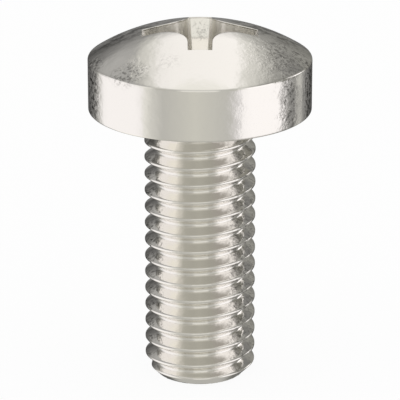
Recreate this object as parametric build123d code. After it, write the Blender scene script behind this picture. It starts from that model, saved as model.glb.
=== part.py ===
from build123d import *
import math
import os

# Pan head machine screw, M8 x 1.25 x 20, with a cross recess of type H, all one piece.
# Millimetres. +Z runs along the axis from the tip to the head, and the origin is the
# centre of the flat tip, so the screw stands on its end.

# Shank
shank_length = 20.0             # tip to the underside of the head, the nominal length
tip_diameter = 6.36             # the flat end, just inside the thread's root
tip_chamfer_angle = 45.0        # from the axis

# Thread, one start, right hand, coarse
thread_diameter = 7.96          # over the crests
thread_pitch = 1.25
flank_angle = 30.0              # of each flank, from the plane across the axis
crest_height_at_x = 0.73        # height of a crest on the +X side, which sets the start

# Neck, the plain ring under the head where the thread runs out
neck_diameter = 7.16            # as the blank was before its thread was rolled
neck_length = 0.55
runout_length = 0.5             # height of the cone on which the thread fades
neck_flare = 0.42               # bevel between neck and bearing face

# Head
head_diameter = 15.9
head_side_height = 3.73         # of the upright side wall
dome_height = 2.38              # from the rim to the top
rim_chamfer = 0.14              # between side wall and dome

# Cross recess
recess_span = 8.2               # wing end to wing end at the mouth
wing_width = 1.66               # at the mouth
wing_end_angle = 13.25          # of a wing's outer end, from the axis
wall_angle = 3.7                # of the walls between the wing ends, from the axis
corner_radius = 2.2             # of the metal between two wings
recess_depth = 4.6              # below the top of the dome, on the axis
recess_foot_diameter = 3.0      # of the cone in the middle of the floor
recess_foot_angle = 60.0        # of that cone, from the axis
mouth_chamfer = 0.15            # all round the mouth


def tangent(degrees):
    return math.tan(math.radians(degrees))


head_radius = head_diameter / 2
thread_radius = thread_diameter / 2
neck_radius = neck_diameter / 2
tip_radius = tip_diameter / 2
rim_z = shank_length + head_side_height
top_z = rim_z + dome_height
neck_z = shank_length - neck_length
shoulder_z = neck_z - runout_length
dome_radius = (head_radius**2 + dome_height**2) / (2 * dome_height)
dome_centre_z = top_z - dome_radius
mouth_z = dome_centre_z + math.sqrt(dome_radius**2 - (recess_span / 2) ** 2)
foot_z = top_z - recess_depth
over_z = top_z + 1              # clear of the dome, where the cutters start

# The thread form follows from the pitch, as in the metric standard: crests an eighth of
# the pitch wide, and a groove whose floor cuts off a sixth of the sharp V.
sharp_height = thread_pitch / 2 / tangent(flank_angle)
crest_width = thread_pitch / 8
root_width = thread_pitch / 6
root_radius = thread_radius - sharp_height * (1 - 1 / 8 - 1 / 6)


def revolved(outline):
    """Solid of revolution from a closed outline whose x is radius and y is height."""
    return revolve(Plane.XZ * outline, Axis.Z)


def shank_blank():
    """Plain shank with its chamfered tip and the cone on which the crests fade."""
    chamfer_height = (thread_radius - tip_radius) / tangent(tip_chamfer_angle)
    outline = Polyline(
        (0, 0),
        (tip_radius, 0),
        (thread_radius, chamfer_height),
        (thread_radius, shoulder_z),
        (neck_radius, neck_z),
        (0, neck_z),
        close=True,
    )
    return revolved(make_face(outline))


def groove_outline():
    """Section of the groove as (radius, height) points, from one flank to the other."""
    # The flanks run on past the crests, to just short of the next turn of the groove.
    outer_half = (thread_pitch - crest_width / 2) / 2
    outer_radius = thread_radius + crest_width / 4 / tangent(flank_angle)
    return [
        (outer_radius, -outer_half),
        (root_radius, -root_width / 2),
        (root_radius, root_width / 2),
        (outer_radius, outer_half),
    ]


def helical_strip(start_z, first, second):
    """One turn of the ruled face between two helices, each through its own point."""
    helices = []
    for radius, height in (first, second):
        centre = (0, 0, start_z + height)
        helices.append(Edge.make_helix(thread_pitch, thread_pitch, radius, centre))
    return Face.make_surface_from_curves(*helices)


def groove_turn(start_z):
    """One turn of the groove, from the +X side round and up to the same side."""
    points = groove_outline()
    sides = zip(points, points[1:] + points[:1])
    strips = [helical_strip(start_z, first, second) for first, second in sides]
    end = Face(Wire.make_polygon([Vector(radius, 0, start_z + z) for radius, z in points]))
    return Solid(Shell([*strips, end, Pos(0, 0, thread_pitch) * end]))


def threaded_shank():
    """The groove winds from below the tip to above the neck's foot."""
    shank = shank_blank()
    groove_z = crest_height_at_x - thread_pitch * 1.5
    while groove_z < neck_z + thread_pitch / 2:
        shank -= groove_turn(groove_z)
        groove_z += thread_pitch
    return shank


def neck_and_head():
    """Domed head on its neck, whose conical foot fills the groove little by little."""
    foot_overlap = 0.1
    foot_radius = root_radius - foot_overlap * (neck_radius - root_radius) / runout_length
    sides = Polyline(
        (0, top_z),
        (0, shoulder_z - foot_overlap),
        (foot_radius, shoulder_z - foot_overlap),
        (neck_radius, neck_z),
        (neck_radius, shank_length - neck_flare),
        (neck_radius + neck_flare, shank_length),
        (head_radius, shank_length),
        (head_radius, rim_z),
    )
    dome = RadiusArc((head_radius, rim_z), (0, top_z), -dome_radius)
    outline = make_face(sides + dome)
    rim = outline.vertices().sort_by_distance((head_radius, rim_z))[0]
    return revolved(chamfer(rim, rim_chamfer))


def tapered_bar(mouth_width, angle):
    """Bar along X, across the whole head, whose sides close in below the mouth."""
    over_half = mouth_width / 2 + (over_z - mouth_z) * tangent(angle)
    foot_half = mouth_width / 2 - (mouth_z - foot_z) * tangent(angle)
    outline = Polyline(
        (-over_half, over_z),
        (over_half, over_z),
        (foot_half, foot_z),
        (-foot_half, foot_z),
        close=True,
    )
    return extrude(Plane.YZ * make_face(outline), head_radius, both=True)


def recess():
    """Two slots across each other with the metal between them rounded. The wing ends
    slope in further than the walls, and the flat floor has a cone in its middle."""
    quarter_turn = Rot(0, 0, 90)
    slot = tapered_bar(wing_width, wall_angle)
    cross = slot + quarter_turn * slot
    near = wing_width
    corners = cross.edges().filter_by(lambda e: abs(e.center().X) < near and abs(e.center().Y) < near)
    cross = fillet(corners, corner_radius)
    ends = tapered_bar(recess_span, wing_end_angle)
    foot_radius = recess_foot_diameter / 2
    floor_z = foot_z + foot_radius / tangent(recess_foot_angle)
    depth = Polyline(
        (0, foot_z),
        (foot_radius, floor_z),
        (head_radius, floor_z),
        (head_radius, over_z),
        (0, over_z),
        close=True,
    )
    return cross & ends & quarter_turn * ends & revolved(make_face(depth))


def screw_head():
    """Head with the recess cut into it and the edge of its mouth broken."""
    head = neck_and_head() - recess()
    dome = head.faces().filter_by(GeomType.SPHERE)[0]
    limit = (head_radius + recess_span / 2) / 2
    mouth = dome.edges().filter_by(lambda e: all(math.hypot(v.X, v.Y) < limit for v in e.vertices()))
    return chamfer(mouth, mouth_chamfer)


os.makedirs("parts", exist_ok=True)
export_step(threaded_shank() + screw_head(), "parts/screw.step")
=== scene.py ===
import math

import bpy
import numpy as np
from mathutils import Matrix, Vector

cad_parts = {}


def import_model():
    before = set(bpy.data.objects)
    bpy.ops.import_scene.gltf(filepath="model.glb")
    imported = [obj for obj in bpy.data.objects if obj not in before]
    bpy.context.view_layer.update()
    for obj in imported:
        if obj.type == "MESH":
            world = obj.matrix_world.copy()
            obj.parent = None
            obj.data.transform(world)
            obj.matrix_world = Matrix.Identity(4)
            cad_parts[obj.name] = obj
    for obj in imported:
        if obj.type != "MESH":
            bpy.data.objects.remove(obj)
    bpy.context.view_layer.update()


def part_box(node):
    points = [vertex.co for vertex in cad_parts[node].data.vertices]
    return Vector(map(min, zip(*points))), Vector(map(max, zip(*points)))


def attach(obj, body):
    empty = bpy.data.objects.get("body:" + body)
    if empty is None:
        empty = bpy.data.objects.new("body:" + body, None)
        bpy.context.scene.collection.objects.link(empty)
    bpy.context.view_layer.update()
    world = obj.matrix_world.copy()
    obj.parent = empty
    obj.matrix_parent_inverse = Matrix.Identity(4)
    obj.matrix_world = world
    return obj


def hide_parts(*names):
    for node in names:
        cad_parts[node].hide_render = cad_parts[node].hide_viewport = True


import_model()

MM = 0.001
NODE = "screw"
TURN = 2 * math.pi

# Sizes of the screw in millimetres and degrees, as in the part's source. The axis runs
# along Z and the tip's flat end is at z = 0.
high_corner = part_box(NODE)[1]
head_radius = high_corner.x / MM

shank_length = 20.0
tip_radius = 3.18
thread_radius = 3.98            # over the crests
pitch = 1.25
flank_angle = 30.0              # from the plane across the axis
crest_height_at_x = 0.73        # height of a crest on the +X side
neck_radius = 3.58
neck_length = 0.55
runout_length = 0.5             # height of the cones on which the thread fades
neck_flare = 0.42               # bevel between neck and head
head_side_height = 3.73
dome_height = 2.38
recess_span = 8.2               # wing end to wing end at the mouth
wing_width = 1.66
wing_end_angle = 13.25          # from the axis
wall_angle = 3.7                # from the axis
corner_radius = 2.2             # of the metal between two wings
recess_depth = 4.6              # below the top of the dome, on the axis
foot_radius = 1.5               # of the cone in the middle of the recess's floor
foot_angle = 60.0               # of that cone, from the axis

rim_z = shank_length + head_side_height
top_z = rim_z + dome_height
dome_radius = (head_radius**2 + dome_height**2) / (2 * dome_height)
dome_centre_z = top_z - dome_radius
neck_z = shank_length - neck_length
shoulder_z = neck_z - runout_length
foot_z = top_z - recess_depth
floor_z = foot_z + foot_radius / math.tan(math.radians(foot_angle))
mouth_z = dome_centre_z + math.sqrt(dome_radius**2 - (recess_span / 2) ** 2)

# The crests cut off an eighth of the sharp V and the groove's floor a sixth.
flank_slope = 1 / math.tan(math.radians(flank_angle))
crest_width = pitch / 8
sharp_height = pitch / 2 * flank_slope
root_radius = thread_radius - sharp_height * 17 / 24

# Roundings and other detail that only this mesh has
crest_rounding = 0.06
root_rounding = sharp_height / 6
flank_hollow = 0.027            # the flanks are hollow by 0.38 of this
tip_rounding = 0.05
neck_rounding = 0.1
bearing_edge_rounding = 0.09
rim_rounding = 0.10
mouth_rounding = 0.05
floor_rounding = 0.08
# Steps of that rounding: inward from the wall and up from the floor
floor_corner = [(0.02, 0.04), (0.06, 0.012), (0.1, 0.0)]
root_half = root_rounding * math.cos(math.radians(flank_angle))

# Columns of the mesh round the axis, and how an eighth of them is shared out in the recess
COLUMNS = 160
EIGHTH = COLUMNS // 8
END_STEPS = 5
WALL_STEPS = 5
CORNER_STEPS = EIGHTH - END_STEPS - WALL_STEPS
DOME_RINGS = 30
EDGE_STEPS = 4
MOUTH_STEPS = 5
angles = np.arange(COLUMNS) * TURN / COLUMNS


def soft_min(a, b, width):
    """The smaller of two radii, with the corner between them rounded."""
    overlap = np.maximum(width - np.abs(a - b), 0) / width
    return np.minimum(a, b) - overlap**2 * width / 4


def thread_profile(from_crest):
    """Radius of the thread by the distance along the axis from the nearest crest."""
    from_root = pitch / 2 - from_crest
    # The groove's floor is an arc, and the flanks that run into it are slightly hollow.
    arc = root_radius + root_rounding - np.sqrt(np.maximum(root_rounding**2 - from_root**2, 0))
    from_crest_edge = from_crest - crest_width / 2
    down_flank = from_crest_edge / (pitch / 2 - crest_width / 2 - root_half)
    hollow = flank_hollow * (down_flank - down_flank**3)
    flank = thread_radius - from_crest_edge * flank_slope - np.maximum(hollow, 0)
    radius = soft_min(np.full_like(from_crest, thread_radius), flank, crest_rounding)
    return np.where(from_root < root_half, arc, radius)


def thread_surface(angle, z):
    """Radius of the threaded shank at an angle and height, arrays of one shape."""
    turns = (z - crest_height_at_x) / pitch - angle / TURN
    radius = thread_profile(np.abs(turns - np.round(turns)) * pitch)
    # The chamfer cuts the thread at the tip.
    radius = soft_min(radius, tip_radius + z, tip_rounding)
    # Crest and groove both run into the neck on cones.
    fade = np.clip((z - shoulder_z) / runout_length, 0, 1)
    crest_cone = thread_radius + (neck_radius - thread_radius) * fade
    groove_cone = root_radius + (neck_radius - root_radius) * fade
    return np.clip(radius, groove_cone, crest_cone)


class Skin:
    """Points and faces of a surface that is built ring by ring."""

    def __init__(self):
        self.points = []
        self.faces = []

    def add(self, points):
        """Adds points, given as an array of (x, y, z), and returns their numbers."""
        first = len(self.points)
        self.points.extend(map(tuple, points))
        return np.arange(first, first + len(points))

    def face(self, corners):
        """Adds a face. Corners that fall together count once."""
        kept = [c for i, c in enumerate(corners) if c != corners[i - 1]]
        if len(set(kept)) > 2:
            self.faces.append(kept)

    def join(self, lower, upper):
        """Quads between two rings, whose columns run counterclockwise seen from above."""
        for i in range(COLUMNS):
            j = (i + 1) % COLUMNS
            self.face([lower[i], lower[j], upper[j], upper[i]])

    def grow(self, lower, rings):
        """Joins each ring of points to the one before and returns the last one's numbers."""
        for points in rings:
            upper = self.add(points)
            self.join(lower, upper)
            lower = upper
        return lower

    def cap(self, edge, point, upward):
        """Closes a ring with a fan of triangles round a point."""
        centre = self.add([point])[0]
        for i in range(COLUMNS):
            j = (i + 1) % COLUMNS
            self.face([edge[i], edge[j], centre] if upward else [edge[j], edge[i], centre])


def ring(radius, z, angle=angles):
    """Points of a ring. The radius, the height and the angles are numbers or arrays."""
    radius = np.broadcast_to(radius, angle.shape)
    height = np.broadcast_to(z, angle.shape)
    return np.column_stack([radius * np.cos(angle), radius * np.sin(angle), height])


def pitch_rows():
    """Heights of the mesh's rows over one pitch from a crest's middle, close at the edges."""
    crest = [0.04, 0.063, 0.08, 0.1]
    flank = [0.16, 0.25, 0.35, 0.44]
    root = [0.468, 0.489, 0.514, 0.543, 0.58]
    half = crest + flank + root
    return np.array([0, *half, pitch / 2, *(pitch - h for h in reversed(half))])


def add_thread(skin, bottom, top):
    """The thread, on rows that climb with it. Rows stop at the bottom and top rings."""
    rows = pitch_rows()
    # Turns past both ends give every row of the thread the one a turn further up.
    first_turn = -2
    last_turn = int((neck_z - crest_height_at_x) / pitch) + 3
    crests = [crest_height_at_x + pitch * turn for turn in range(first_turn, last_turn)]
    climb = pitch * angles / TURN
    lines = []
    for start in (crest + row for crest in crests for row in rows):
        z = start + climb
        line = np.where(z <= 0, bottom, top)
        inside = (z > 0) & (z < neck_z)
        radius = thread_surface(angles[inside], z[inside])
        line[inside] = skin.add(ring(radius, z[inside], angles[inside]))
        lines.append(line)
    # After its last column a row goes on as the row that is one turn further up.
    turn = len(rows)
    for j in range(len(lines) - 1 - turn):
        lower = [*lines[j], lines[j + turn][0]]
        upper = [*lines[j + 1], lines[j + 1 + turn][0]]
        for i in range(COLUMNS):
            skin.face([lower[i], lower[i + 1], upper[i + 1], upper[i]])


def bent(start, corner, end, steps):
    """Points from start to end on a curve that bends towards the corner."""
    shares = np.linspace(0, 1, steps + 1)
    return [(1 - t) ** 2 * start + 2 * t * (1 - t) * corner + t**2 * end for t in shares]


def rounded_corner(before, corner, after, size):
    """Points of a curve that rounds a corner, reaching the given distance along each side."""
    before, corner, after = (np.array(p, float) for p in (before, corner, after))
    start = corner + (before - corner) * size / np.linalg.norm(before - corner)
    end = corner + (after - corner) * size / np.linalg.norm(after - corner)
    return bent(start, corner, end, EDGE_STEPS)


def lathe_outline(corners):
    """Outline of (radius, z) points through corners given as (radius, z, rounding). Straight
    stretches have points close to both ends, which keep them flat where they are shaded."""
    points = [np.array(corners[0][:2], float)]
    for before, here, after in zip(corners, corners[1:], corners[2:]):
        curve = rounded_corner(before[:2], here[:2], after[:2], here[2])
        start = points[-1]
        points += [start + (curve[0] - start) * share for share in (0.03, 0.3, 0.7, 0.97)]
        points += curve
    return points + [np.array(corners[-1][:2], float)]


def cross_eighth(step, half_width, half_span, radius):
    """An eighth of the cross, from the middle of a wing's end to a corner's middle."""
    centre = half_width + radius
    places = [step <= END_STEPS, step <= END_STEPS + WALL_STEPS]
    along = (step - END_STEPS) / WALL_STEPS
    turn = np.clip(step - END_STEPS - WALL_STEPS, 0, CORNER_STEPS) / CORNER_STEPS * math.pi / 4
    wall_x = half_span + (centre - half_span) * along
    x = np.select(places, [half_span, wall_x], centre - radius * np.sin(turn))
    end_y = half_width * (step / END_STEPS)
    y = np.select(places, [end_y, half_width], centre - radius * np.cos(turn))
    return x, y


def cross_outline(height, grow=0.0):
    """Plan of the recess at given heights, one for each column, wider by grow all round."""
    below = mouth_z - height
    half_width = wing_width / 2 - below * math.tan(math.radians(wall_angle)) + grow
    half_span = recess_span / 2 - below * math.tan(math.radians(wing_end_angle)) + grow
    step = np.arange(COLUMNS) % (2 * EIGHTH)
    mirrored = step > EIGHTH
    step = np.where(mirrored, 2 * EIGHTH - step, step)
    x, y = cross_eighth(step, half_width, half_span, corner_radius - grow)
    x, y = np.where(mirrored, y, x), np.where(mirrored, x, y)
    turn = np.arange(COLUMNS) // (2 * EIGHTH) * math.pi / 2
    return np.column_stack([x * np.cos(turn) - y * np.sin(turn), x * np.sin(turn) + y * np.cos(turn)])


def dome_z(radius):
    """Height of the dome at a distance from the axis."""
    return dome_centre_z + np.sqrt(dome_radius**2 - radius**2)


def mouth_curve(grow):
    """Where the recess, wider by grow, meets the dome, as (x, y, z) points."""
    height = np.full(COLUMNS, mouth_z)
    # Each pass takes the recess's plan at the heights that the last one found.
    for _ in range(12):
        plan = cross_outline(height, grow)
        height = dome_z(np.hypot(plan[:, 0], plan[:, 1]))
    return np.column_stack([plan, height])


def polar(plan):
    """Distances from the axis and angles of the points of a plan."""
    return np.hypot(plan[:, 0], plan[:, 1]), np.arctan2(plan[:, 1], plan[:, 0])


def dome_rings(rim_radius, mouth):
    """Rings of the dome from its rim, which turn little by little into the mouth's shape."""
    mouth_radius, mouth_angle = polar(mouth)
    mouth_angle = np.unwrap(mouth_angle)
    for share in np.linspace(0, 1, DOME_RINGS + 1)[1:]:
        radius = rim_radius + (mouth_radius - rim_radius) * share
        angle = angles + (mouth_angle - angles) * share**2
        yield ring(radius, dome_z(radius), angle)


def recess_rings(lip):
    """Rings of the recess below its lip: mouth, walls, floor and the cone in its middle."""
    edge = mouth_curve(0.0)
    down = edge[:, 2] - mouth_rounding
    wall_top = np.column_stack([cross_outline(down), down])
    yield from bent(lip, edge, wall_top, MOUTH_STEPS)[1:]
    for share in (0.02, 0.1, 0.2, 0.3, 0.4, 0.5, 0.6, 0.7, 0.8, 0.9, 0.98):
        height = down + (floor_z + floor_rounding - down) * share
        yield np.column_stack([cross_outline(height), height])
    radius, angle = polar(cross_outline(np.full(COLUMNS, floor_z)))
    for inward, lift in floor_corner:
        yield ring(radius - inward, floor_z + lift, angle)
    floor_edge = radius - floor_corner[-1][0]
    for share in (0.3, 0.6, 0.9, 1.0):
        yield ring(floor_edge + (foot_radius - floor_edge) * share, floor_z, angle)
    for share in (0.95, 0.7, 0.4, 0.15):
        yield ring(foot_radius * share, foot_z + (floor_z - foot_z) * share, angle)


def neck_and_side():
    """Outline of the neck, the underside of the head, its side and the foot of the dome."""
    dome_foot = head_radius - 2 * rim_rounding
    return lathe_outline(
        [
            (neck_radius, neck_z, 0),
            (neck_radius, shank_length - neck_flare, neck_rounding),
            (neck_radius + neck_flare, shank_length, neck_rounding),
            (head_radius, shank_length, bearing_edge_rounding),
            (head_radius, rim_z, rim_rounding),
            (dome_foot, dome_z(dome_foot)),
        ]
    )


def screw_skin():
    """The whole screw as one closed surface, from the tip up and down into the recess."""
    skin = Skin()
    tip_edge = skin.add(ring(tip_radius, 0.0))
    outer = tip_edge
    for share in (0.985, 0.9, 0.6, 0.3):
        inner = skin.add(ring(tip_radius * share, 0.0))
        skin.join(inner, outer)
        outer = inner
    skin.cap(outer, (0, 0, 0), False)
    neck_foot = skin.add(ring(neck_radius, neck_z))
    add_thread(skin, tip_edge, neck_foot)
    rim = skin.grow(neck_foot, (ring(radius, z) for radius, z in neck_and_side()[1:]))
    lip = mouth_curve(mouth_rounding)
    rim_radius = math.hypot(*skin.points[rim[0]][:2])
    mouth = skin.grow(rim, dome_rings(rim_radius, lip))
    skin.cap(skin.grow(mouth, recess_rings(lip)), (0, 0, foot_z), True)
    return skin


def screw_object(skin, material):
    mesh = bpy.data.meshes.new("screw_body")
    mesh.from_pydata([tuple(MM * c for c in p) for p in skin.points], [], skin.faces)
    mesh.polygons.foreach_set("use_smooth", [True] * len(mesh.polygons))
    mesh.materials.append(material)
    mesh.update()
    screw = bpy.data.objects.new("screw_body", mesh)
    bpy.context.scene.collection.objects.link(screw)
    return screw


def give(tree, entry, value):
    """Links an input to the output of a node, or sets it to a plain value."""
    if isinstance(value, bpy.types.NodeSocket):
        tree.links.new(value, entry)
    else:
        entry.default_value = value


def math_node(tree, operation, *values, clamp=False):
    node = tree.nodes.new("ShaderNodeMath")
    node.operation = operation
    node.use_clamp = clamp
    for entry, value in zip(node.inputs, values):
        give(tree, entry, value)
    return node.outputs[0]


def vector_node(tree, operation, *values):
    """The node of a vector operation, whose result is a vector or a value."""
    node = tree.nodes.new("ShaderNodeVectorMath")
    node.operation = operation
    for entry, value in zip(node.inputs, values):
        give(tree, entry, value)
    return node


def mapping_node(tree, vector, kind, place=(0, 0, 0), turn=(0, 0, 0), scale=(1, 1, 1)):
    """Scales, turns and moves a vector. Of kind TEXTURE it does the reverse."""
    node = tree.nodes.new("ShaderNodeMapping")
    node.vector_type = kind
    node.inputs["Location"].default_value = place
    node.inputs["Rotation"].default_value = turn
    node.inputs["Scale"].default_value = scale
    tree.links.new(vector, node.inputs["Vector"])
    return node.outputs["Vector"]


def noise_node(tree, point, frequency, detail, roughness, turn=(0, 0, 0), stretch=(1, 1, 1)):
    """Noise of a given frequency per millimetre, turned and stretched."""
    node = tree.nodes.new("ShaderNodeTexNoise")
    node.inputs["Scale"].default_value = frequency
    node.inputs["Detail"].default_value = detail
    node.inputs["Roughness"].default_value = roughness
    turned = mapping_node(tree, point, "TEXTURE", turn=turn, scale=stretch)
    tree.links.new(turned, node.inputs["Vector"])
    return node.outputs["Fac"]


def bump_node(tree, height, distance, normal=None):
    """Normal of a surface raised by the given distance in millimetres where height is 1."""
    node = tree.nodes.new("ShaderNodeBump")
    node.inputs["Distance"].default_value = distance * MM
    tree.links.new(height, node.inputs["Height"])
    if normal is not None:
        tree.links.new(normal, node.inputs["Normal"])
    return node.outputs["Normal"]


def ramp_node(tree, factor, stops):
    """Colour by a factor from 0 to 1, through stops given as place and colour."""
    node = tree.nodes.new("ShaderNodeValToRGB")
    elements = node.color_ramp.elements
    while len(elements) < len(stops):
        elements.new(0.5)
    for element, (place, colour) in zip(elements, stops):
        element.position = place
        element.color = (*colour, 1)
    tree.links.new(factor, node.inputs["Fac"])
    return node.outputs["Color"]


def mix_node(tree, share, first, second):
    """Mixes two colours, each the output of a node or a plain colour."""
    node = tree.nodes.new("ShaderNodeMix")
    node.data_type = "RGBA"
    tree.links.new(share, node.inputs["Factor"])
    for entry, colour in (("A", first), ("B", second)):
        give(tree, node.inputs[entry], (*colour, 1) if isinstance(colour, tuple) else colour)
    return node.outputs["Result"]


def mix_shader(tree, share, first, second):
    node = tree.nodes.new("ShaderNodeMixShader")
    for entry, value in zip(node.inputs, (share, first, second)):
        tree.links.new(value, entry)
    return node.outputs[0]


def share_node(tree, value, low, high):
    """Passes smoothly from 0 to 1 while the value passes from low to high."""
    node = tree.nodes.new("ShaderNodeMapRange")
    node.interpolation_type = "SMOOTHSTEP"
    node.inputs["From Min"].default_value = low
    node.inputs["From Max"].default_value = high
    tree.links.new(value, node.inputs["Value"])
    return node.outputs["Result"]


def length_node(tree, point, centre, size):
    """Distance from a centre, measured in the given half-sizes."""
    fitted = mapping_node(tree, point, "TEXTURE", place=centre, scale=size)
    return vector_node(tree, "LENGTH", fitted).outputs["Value"]


def noise_share(tree, point, noise, limits):
    """Passes from 0 to 1 while a noise, given by its settings, passes between its limits."""
    return share_node(tree, noise_node(tree, point, *noise), *limits)


def spots_node(tree, point, spots):
    """Mask of several soft ellipsoids: centre, half-sizes and strength of each."""
    mask = None
    for centre, size, strength in spots:
        near = share_node(tree, length_node(tree, point, centre, size), *SPOT_EDGE)
        spot = math_node(tree, "MULTIPLY", near, strength)
        mask = spot if mask is None else math_node(tree, "MAXIMUM", mask, spot)
    return mask


def grey(level):
    return (level, level, level)


# The steel's colour, roughness and, when it is seen edge-on, its tint
CLEAN_STEEL = (0.87, 0.853, 0.818)
# Lighter steel in the recess: painted light that makes up for the recess's shade
RECESS_PAINTED_LIGHT_STEEL = (0.915, 0.897, 0.855)
# Dark steel, its roughness and its edge-on tint where dark reflections are painted as specks and
# patches
PAINTED_DARK_STEEL = (0.17, 0.165, 0.155)
CLEAN_ROUGHNESS = 0.07
PAINTED_DARK_ROUGHNESS = 0.14
SATIN_ROUGHNESS = 0.3
CLEAN_EDGE = 1.0
PAINTED_DARK_EDGE = 0.15
# Half-sizes of an ellipsoid round the top that holds the recess and stays clear of the
# shank, and the limits of its edge and of the dome's, as shares of their sizes
RECESS_SIZE = (5.2, 5.2, 6.0)
RECESS_EDGE = (1.0, 0.98)
DOME_EDGE = (0.997, 0.992)
# How far a point lies outward along its normal, in millimetres: wing ends below the first
# limit, walls above the second
WALL_LIMITS = (-3.4, -2.8)
# Noises: frequency per millimetre, detail, roughness, and for strokes turn and stretch.
# Those with limits become shares that pass from 0 to 1 between them.
MARKS = (5.0, 5, 0.62)
SWELL = (1.1, 2, 0.5)
STROKES = (3.2, 4, 0.6, (0.4, 0.9, 0.5), (5, 1, 1))
STROKE_LIMITS = (0.54, 0.68)
NICKS = (3.6, 4, 0.6, (0.2, -0.8, 1.3), (5, 1, 1))
NICK_LIMITS = (0.56, 0.68)
BREAKUP = (0.9, 3, 0.6)
BREAKUP_LIMITS = (0.38, 0.56)
SPECKS = (3.8, 4, 0.75)
SPECK_LIMITS = (0.47, 0.62)
PATCHES = (1.2, 5, 0.65)
PATCH_LIMITS = (0.46, 0.58)
# Heights of the marks and of the slow swell of the surface, in millimetres
MARK_HEIGHT = 0.022
SWELL_HEIGHT = 0.02
# Depth of strokes and nicks against that of the marks
STROKE_DEPTH = 0.2
# How much of the marks is left where the surface isn't worn
FAINT_SHARE = 0.06
# Edge of a spot, as shares of its half-sizes
SPOT_EDGE = (1.0, 0.4)
# Where the surface is worn: centre and half-sizes of an ellipsoid, and how much
WORN_SPOTS = [
    ((6.2, -5.2, 22.0), (2.4, 3.0, 3.6), 1.0),
    ((7.5, -1.5, 22.4), (2.0, 2.4, 3.2), 1.0),
    ((-7.6, -2.0, 22.0), (2.0, 3.0, 3.6), 1.4),
    ((2.0, -7.6, 21.8), (1.9, 1.2, 3.4), 0.45),
    ((-4.9, -4.9, 24.2), (2.2, 1.9, 1.4), 0.8),
    ((-4.8, 3.6, 24.8), (4.8, 3.0, 1.8), 0.8),
    ((4.4, 4.2, 24.8), (4.8, 3.0, 1.8), 0.8),
    ((-2.4, -3.6, 25.4), (1.6, 1.6, 1.6), 0.3),
    ((5.0, -3.0, 24.6), (3.4, 5.0, 2.0), 0.8),
    ((3.4, -2.4, 9.5), (1.8, 2.4, 16.0), 0.3),
    ((-4.0, -1.0, 9.5), (1.2, 1.9, 16.0), 0.6),
]
# Where dark patches on the back of the dome are painted reflection, in the same way
PAINTED_DARK_PATCH_SPOTS = [
    ((-5.4, 2.4, 24.8), (5.6, 4.2, 2.4), 0.5),
    ((5.4, 2.8, 24.8), (5.6, 4.2, 2.4), 0.5),
]
# Where dark specks are painted as reflection, on the head's side, the dome and the thread, in the
# same way
PAINTED_DARK_SPECK_SPOTS = [
    ((6.2, -5.0, 22.0), (1.2, 1.3, 3.4), 0.8),
    ((7.6, -2.2, 22.0), (1.2, 1.6, 3.6), 0.9),
    ((0.0, 4.0, 24.5), (1.0, 0.8, 1.0), 0.35),
    ((-7.6, -2.3, 22.0), (1.4, 1.9, 3.8), 1.0),
    ((-4.9, -5.3, 24.1), (2.0, 1.6, 1.2), 0.65),
    ((-2.2, -5.2, 25.0), (1.2, 1.1, 0.9), 0.16),
    ((5.9, -2.4, 24.4), (2.6, 3.6, 1.6), 0.55),
    ((-5.4, 3.0, 24.8), (5.4, 3.6, 1.8), 0.42),
    ((5.2, 3.6, 24.8), (5.2, 3.6, 1.8), 0.36),
    ((3.2, -2.5, 9.5), (1.5, 1.6, 16.0), 0.6),
    ((4.1, -0.9, 9.5), (1.2, 1.6, 16.0), 0.5),
    ((-3.8, -1.4, 9.5), (1.0, 1.3, 16.0), 0.9),
]


def recess_share(tree, point):
    """1 inside the recess, below the dome, and 0 elsewhere."""
    from_dome_centre = length_node(tree, point, (0, 0, dome_centre_z), grey(dome_radius))
    from_top = length_node(tree, point, (0, 0, top_z), RECESS_SIZE)
    below_dome = share_node(tree, from_dome_centre, *DOME_EDGE)
    return math_node(tree, "MULTIPLY", below_dome, share_node(tree, from_top, *RECESS_EDGE))


def wall_share(tree, point, normal):
    """0 on the outer ends of the wings, which face the axis, and 1 on the other walls."""
    outward = vector_node(tree, "MULTIPLY", point, (1, 1, 0)).outputs["Vector"]
    facing = vector_node(tree, "DOT_PRODUCT", outward, normal).outputs["Value"]
    return share_node(tree, facing, *WALL_LIMITS)


def worn_normal(tree, point, outside):
    """Normal of the worn surface, with marks, strokes, nicks and a slow swell."""
    breakup = noise_share(tree, point, BREAKUP, BREAKUP_LIMITS)
    worn = math_node(tree, "MULTIPLY", spots_node(tree, point, WORN_SPOTS), breakup)
    strength = math_node(tree, "MULTIPLY", math_node(tree, "MAXIMUM", worn, FAINT_SHARE), outside)
    marks = noise_node(tree, point, *MARKS)
    for noise, limits in ((STROKES, STROKE_LIMITS), (NICKS, NICK_LIMITS)):
        cut = math_node(tree, "MULTIPLY", noise_share(tree, point, noise, limits), STROKE_DEPTH)
        marks = math_node(tree, "SUBTRACT", marks, cut)
    normal = bump_node(tree, math_node(tree, "MULTIPLY", strength, marks), MARK_HEIGHT)
    swell = math_node(tree, "MULTIPLY", noise_node(tree, point, *SWELL), outside)
    return bump_node(tree, swell, SWELL_HEIGHT, normal)


def painted_dark_share(tree, point):
    """Share of painted dark reflection, in specks and in patches."""
    specks = noise_share(tree, point, SPECKS, SPECK_LIMITS)
    painted_dark = math_node(tree, "MULTIPLY", specks, spots_node(tree, point, PAINTED_DARK_SPECK_SPOTS))
    patches = noise_share(tree, point, PATCHES, PATCH_LIMITS)
    painted_dark_patches = math_node(tree, "MULTIPLY", patches, spots_node(tree, point, PAINTED_DARK_PATCH_SPOTS))
    return math_node(tree, "MAXIMUM", painted_dark, painted_dark_patches)


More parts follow.
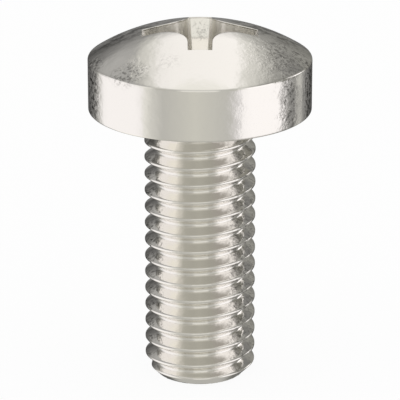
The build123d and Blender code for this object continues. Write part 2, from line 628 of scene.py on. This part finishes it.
def steel():
    """Bright steel with worn places, faint scratches, specks and patches of painted dark
    reflection, painted light that lightens the recess, and satin in the recess.
    """
    material = bpy.data.materials.new("steel")
    material.use_nodes = True
    tree = material.node_tree
    shader = tree.nodes["Principled BSDF"]
    shader.inputs["Metallic"].default_value = 1.0
    place = tree.nodes.new("ShaderNodeTexCoord")
    point = mapping_node(tree, place.outputs["Object"], "POINT", scale=grey(1 / MM))
    in_recess = recess_share(tree, point)
    outside = math_node(tree, "SUBTRACT", 1.0, in_recess)
    on_wall = wall_share(tree, point, place.outputs["Normal"])
    satin = math_node(tree, "MULTIPLY", in_recess, on_wall)
    # Specks and patches of painted dark reflection
    painted_dark = painted_dark_share(tree, point)
    # The recess gets its lighter steel here, as painted light
    base_with_painted_recess_light = mix_node(tree, in_recess, CLEAN_STEEL, RECESS_PAINTED_LIGHT_STEEL)
    rough = mix_node(tree, painted_dark, grey(CLEAN_ROUGHNESS), grey(PAINTED_DARK_ROUGHNESS))
    for entry, value in (
        ("Base Color", mix_node(tree, painted_dark, base_with_painted_recess_light, PAINTED_DARK_STEEL)),
        ("Specular Tint", mix_node(tree, painted_dark, grey(CLEAN_EDGE), grey(PAINTED_DARK_EDGE))),
        ("Roughness", mix_node(tree, satin, rough, grey(SATIN_ROUGHNESS))),
        ("Normal", worn_normal(tree, point, outside)),
    ):
        tree.links.new(value, shader.inputs[entry])
    return material


screw = screw_object(screw_skin(), steel())
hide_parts(NODE)
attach(screw, "root")


# The photograph's view: a long lens from a little above. Lengths are in millimetres.
CAMERA_ELEVATION = 19.594
CAMERA_DISTANCE = 210.15
CAMERA_TARGET_Z = 13.01
SENSOR_WIDTH = 36.0
LENS = 262.997


def camera():
    elevation = math.radians(CAMERA_ELEVATION)
    target = Vector((0, 0, CAMERA_TARGET_Z * MM))
    data = bpy.data.cameras.new("camera")
    data.sensor_width = SENSOR_WIDTH
    data.lens = LENS
    data.clip_start = 0.01
    data.clip_end = 10
    eye = bpy.data.objects.new("camera", data)
    from_target = Vector((0, -math.cos(elevation), math.sin(elevation)))
    eye.location = target + from_target * CAMERA_DISTANCE * MM
    eye.rotation_euler = (target - eye.location).to_track_quat("-Z", "Y").to_euler()
    bpy.context.scene.collection.objects.link(eye)
    bpy.context.scene.camera = eye


# Tints of the studio as red, green and blue shares
WHITE = (1.0, 0.972, 0.975)
PALE = (1.0, 0.976, 0.955)
CREAM = (1.0, 0.985, 0.93)
OLIVE = (1.0, 0.985, 0.90)
DARK = (1.0, 0.985, 0.96)
BEIGE = (1.0, 0.97, 0.91)
PINK = (1.0, 0.95, 0.90)

# What the metal mirrors, going round the screw from the back by its left: bearing in
# degrees from the front, level and tint. Each ring belongs to a height: steeply down, down,
# level and high.
STEEP_ROUND = [
    (-180, 0.10, DARK),
    (-150, 0.12, DARK),
    (-128, 0.30, DARK),
    (-112, 0.62, BEIGE),
    (-102, 0.88, BEIGE),
    (-68, 0.90, BEIGE),
    (-56, 0.64, BEIGE),
    (-42, 0.44, OLIVE),
    (-20, 0.42, OLIVE),
    (0, 0.44, OLIVE),
    (25, 0.39, OLIVE),
    (50, 0.38, PINK),
    (80, 0.40, PINK),
    (94, 0.28, OLIVE),
    (106, 0.16, OLIVE),
    (118, 0.16, OLIVE),
    (140, 0.28, OLIVE),
    (180, 0.10, DARK),
]
DOWN_ROUND = [
    (-180, 0.18, DARK),
    (-170, 0.14, DARK),
    (-155, 0.08, DARK),
    (-143, 0.16, DARK),
    (-134, 0.26, DARK),
    (-126, 0.42, CREAM),
    (-118, 0.86, WHITE),
    (-108, 0.90, WHITE),
    (-70, 0.90, WHITE),
    (-64, 0.85, WHITE),
    (-57, 0.70, CREAM),
    (-50, 0.575, CREAM),
    (-38, 0.465, CREAM),
    (-5, 0.555, OLIVE),
    (28, 0.48, CREAM),
    (38, 0.62, WHITE),
    (45, 0.90, WHITE),
    (54, 0.95, WHITE),
    (86, 0.95, WHITE),
    (90, 0.90, WHITE),
    (95, 0.52, WHITE),
    (101, 0.33, DARK),
    (107, 0.25, DARK),
    (114, 0.20, DARK),
    (119, 0.50, CREAM),
    (126, 0.48, CREAM),
    (132, 0.26, DARK),
    (139, 0.20, DARK),
    (150, 0.09, DARK),
    (165, 0.08, DARK),
    (180, 0.18, DARK),
]
LEVEL_ROUND = [
    (-180, 0.22, DARK),
    (-171, 0.18, DARK),
    (-165, 0.07, DARK),
    (-148, 0.12, DARK),
    (-134, 0.16, DARK),
    (-122, 0.36, CREAM),
    (-110, 0.70, WHITE),
    (-100, 0.88, WHITE),
    (-75, 0.88, WHITE),
    (-56, 0.74, CREAM),
    (-42, 0.44, OLIVE),
    (-22, 0.48, CREAM),
    (-16, 0.73, CREAM),
    (16, 0.73, CREAM),
    (22, 0.48, CREAM),
    (34, 0.46, OLIVE),
    (42, 0.66, CREAM),
    (50, 1.0, WHITE),
    (80, 1.0, WHITE),
    (90, 0.24, OLIVE),
    (132, 0.22, OLIVE),
    (150, 0.20, OLIVE),
    (165, 0.18, OLIVE),
    (180, 0.22, DARK),
]
HIGH_ROUND = [
    (-180, 0.34, DARK),
    (-168, 0.22, DARK),
    (-150, 0.13, DARK),
    (-135, 0.28, DARK),
    (-110, 0.38, DARK),
    (90, 0.30, OLIVE),
    (150, 0.28, OLIVE),
    (180, 0.30, DARK),
]
# A narrow lamp at the right of the back: bearing and share, level, and the upward parts
# between which it starts and ends
STRIP_ROUND = [(107, 0.0), (111, 1.0), (127, 1.0), (131, 0.0)]
STRIP_LEVEL = 1.2
STRIP_FOOT = (0.02, 0.10)
STRIP_TOP = (0.62, 0.48)
# Above, by how far a direction leans to the side for its height: lean, level and tint
CEILING_ACROSS = [
    (-2.0, 0.22, DARK),
    (-1.3, 0.36, DARK),
    (-0.75, 0.41, DARK),
    (-0.58, 0.36, DARK),
    (-0.50, 0.48, CREAM),
    (-0.40, 0.62, CREAM),
    (-0.30, 0.82, PALE),
    (-0.20, 0.86, PALE),
    (0.27, 0.90, PALE),
    (0.36, 0.66, CREAM),
    (0.48, 0.54, CREAM),
    (0.60, 0.36, CREAM),
    (0.80, 0.18, DARK),
    (1.05, 0.17, DARK),
    (1.4, 0.28, CREAM),
    (2.0, 0.26, DARK),
]
# A lean of 2 to either side is the edge of the ceiling's ramp.
LEAN_SCALE = 0.25
# Keeps the lean finite where a direction has no upward part
LEAST_HEIGHT = 0.01
# Level and tint straight below, straight above and above in front
BELOW = (0.42, CREAM)
TOP = (0.78, CREAM)
TOP_FRONT = (0.60, CREAM)
# By how much all these levels are raised
MIRRORED_STRENGTH = 1.18
# Upward parts between which one zone of the studio passes into the next
BELOW_TO_STEEP = (-0.85, -0.70)
STEEP_TO_DOWN = (-0.53, -0.35)
DOWN_TO_LEVEL = (-0.24, -0.06)
LEVEL_TO_HIGH = (0.06, 0.36)
HIGH_TO_CEILING = (0.26, 0.58)
CEILING_TO_TOP = (0.95, 1.0)
LEVEL_TO_TOP_FRONT = (0.55, 0.75)
# Backward parts between which the top passes into its front
TOP_TO_FRONT = (0.02, -0.28)
# The level zone reaches higher in front of these backward parts, by this much.
BACK_TO_FRONT = (0.75, 0.35)
FRONT_RISE = 0.34


def tinted(level, tint):
    return tuple(level * share for share in tint)


def studio_round(tree, direction, around):
    """Colour by bearing round the screw, for mirrored rays."""
    turned = mapping_node(tree, direction, "POINT", turn=(0, 0, math.pi / 2))
    sweep = tree.nodes.new("ShaderNodeTexGradient")
    sweep.gradient_type = "RADIAL"
    tree.links.new(turned, sweep.inputs["Vector"])
    stops = [(bearing / 360 + 0.5, tinted(level, tint)) for bearing, level, tint in around]
    return ramp_node(tree, sweep.outputs["Fac"], stops)


def ceiling(tree, sideways, upward):
    """Colour above, by how far a direction leans to the side for its height."""
    height = math_node(tree, "MAXIMUM", upward, LEAST_HEIGHT)
    leaning = math_node(tree, "DIVIDE", sideways, height)
    scaled = math_node(tree, "MULTIPLY_ADD", leaning, LEAN_SCALE, 0.5, clamp=True)
    stops = [(lean * LEAN_SCALE + 0.5, tinted(level, tint)) for lean, level, tint in CEILING_ACROSS]
    return ramp_node(tree, scaled, stops)


def studio_view(tree, direction):
    """Colour of the studio in a direction, built up from below to the top."""
    parts = tree.nodes.new("ShaderNodeSeparateXYZ")
    tree.links.new(direction, parts.inputs[0])
    sideways, backward, upward = (parts.outputs[axis] for axis in "XYZ")
    front = share_node(tree, backward, *BACK_TO_FRONT)
    raised = math_node(tree, "MULTIPLY_ADD", front, -FRONT_RISE, upward)
    view = tinted(*BELOW)
    for height, limits, above in (
        (upward, BELOW_TO_STEEP, studio_round(tree, direction, STEEP_ROUND)),
        (upward, STEEP_TO_DOWN, studio_round(tree, direction, DOWN_ROUND)),
        (upward, DOWN_TO_LEVEL, studio_round(tree, direction, LEVEL_ROUND)),
        (raised, LEVEL_TO_HIGH, studio_round(tree, direction, HIGH_ROUND)),
        (raised, HIGH_TO_CEILING, ceiling(tree, sideways, upward)),
        (upward, CEILING_TO_TOP, tinted(*TOP)),
    ):
        view = mix_node(tree, share_node(tree, height, *limits), view, above)
    at_front = share_node(tree, backward, *TOP_TO_FRONT)
    at_front = math_node(tree, "MULTIPLY", at_front, share_node(tree, upward, *LEVEL_TO_TOP_FRONT))
    view = mix_node(tree, at_front, view, tinted(*TOP_FRONT))
    strip_stops = [(bearing, share, grey(1)) for bearing, share in STRIP_ROUND]
    strip = studio_round(tree, direction, strip_stops)
    for limits in (STRIP_FOOT, STRIP_TOP):
        strip = math_node(tree, "MULTIPLY", strip, share_node(tree, upward, *limits))
    return mix_node(tree, strip, view, tinted(STRIP_LEVEL, WHITE))


def world():
    """White to the camera, plain light for the floor, and a studio for mirrored rays."""
    studio = bpy.data.worlds.new("studio")
    bpy.context.scene.world = studio
    studio.use_nodes = True
    tree = studio.node_tree
    tree.nodes.clear()
    path = tree.nodes.new("ShaderNodeLightPath")
    place = tree.nodes.new("ShaderNodeTexCoord")
    mirrored = tree.nodes.new("ShaderNodeBackground")
    mirrored.inputs["Strength"].default_value = MIRRORED_STRENGTH
    tree.links.new(studio_view(tree, place.outputs["Generated"]), mirrored.inputs["Color"])
    plain = tree.nodes.new("ShaderNodeBackground")
    plain.inputs["Color"].default_value = (1, 1, 1, 1)
    plain.inputs["Strength"].default_value = 1.0
    mixed = mix_shader(tree, path.outputs["Is Glossy Ray"], plain.outputs[0], mirrored.outputs[0])
    output = tree.nodes.new("ShaderNodeOutputWorld")
    tree.links.new(mixed, output.inputs["Surface"])


FLOOR_HALF = 3.0                # metres
FLOOR_GREY = 0.8
# Share of plain white in what the camera sees of the floor, whose rest shows shadows
FLOOR_WHITE_SHARE = 0.93


def floor_material():
    """Nearly white to the camera, matt to diffuse rays and absent from mirrored ones."""
    material = bpy.data.materials.new("floor")
    material.use_nodes = True
    tree = material.node_tree
    tree.nodes.clear()
    path = tree.nodes.new("ShaderNodeLightPath")
    matt = tree.nodes.new("ShaderNodeBsdfDiffuse")
    matt.inputs["Color"].default_value = (*grey(FLOOR_GREY), 1)
    white = tree.nodes.new("ShaderNodeEmission")
    white.inputs["Strength"].default_value = 1.0
    through = tree.nodes.new("ShaderNodeBsdfTransparent")
    share = math_node(tree, "MULTIPLY", path.outputs["Is Camera Ray"], FLOOR_WHITE_SHARE)
    seen = mix_shader(tree, share, matt.outputs[0], white.outputs[0])
    mixed = mix_shader(tree, path.outputs["Is Glossy Ray"], seen, through.outputs[0])
    output = tree.nodes.new("ShaderNodeOutputMaterial")
    tree.links.new(mixed, output.inputs["Surface"])
    return material


def floor():
    mesh = bpy.data.meshes.new("floor")
    corners = [(-1, -1), (1, -1), (1, 1), (-1, 1)]
    mesh.from_pydata([(x * FLOOR_HALF, y * FLOOR_HALF, 0) for x, y in corners], [], [(0, 1, 2, 3)])
    mesh.materials.append(floor_material())
    plane = bpy.data.objects.new("floor", mesh)
    bpy.context.scene.collection.objects.link(plane)


def area_light(name, location, size, radiance, target):
    """A softbox of a given size and brightness, where 1 is the white of the floor."""
    data = bpy.data.lights.new(name, "AREA")
    data.shape = "RECTANGLE"
    data.size, data.size_y = size
    data.energy = radiance * math.pi * size[0] * size[1]
    lamp = bpy.data.objects.new(name, data)
    lamp.location = location
    lamp.rotation_euler = (Vector(target) - Vector(location)).to_track_quat("-Z", "Y").to_euler()
    # The metal mirrors the studio instead, where a lamp would leave a hard-edged patch.
    lamp.visible_glossy = False
    bpy.context.scene.collection.objects.link(lamp)


camera()
floor()
world()
area_light("overhead", location=(-0.3, -0.3, 0.9), size=(0.5, 0.5), radiance=0.6, target=(0, 0, 0))
bpy.context.scene.view_settings.view_transform = "Standard"
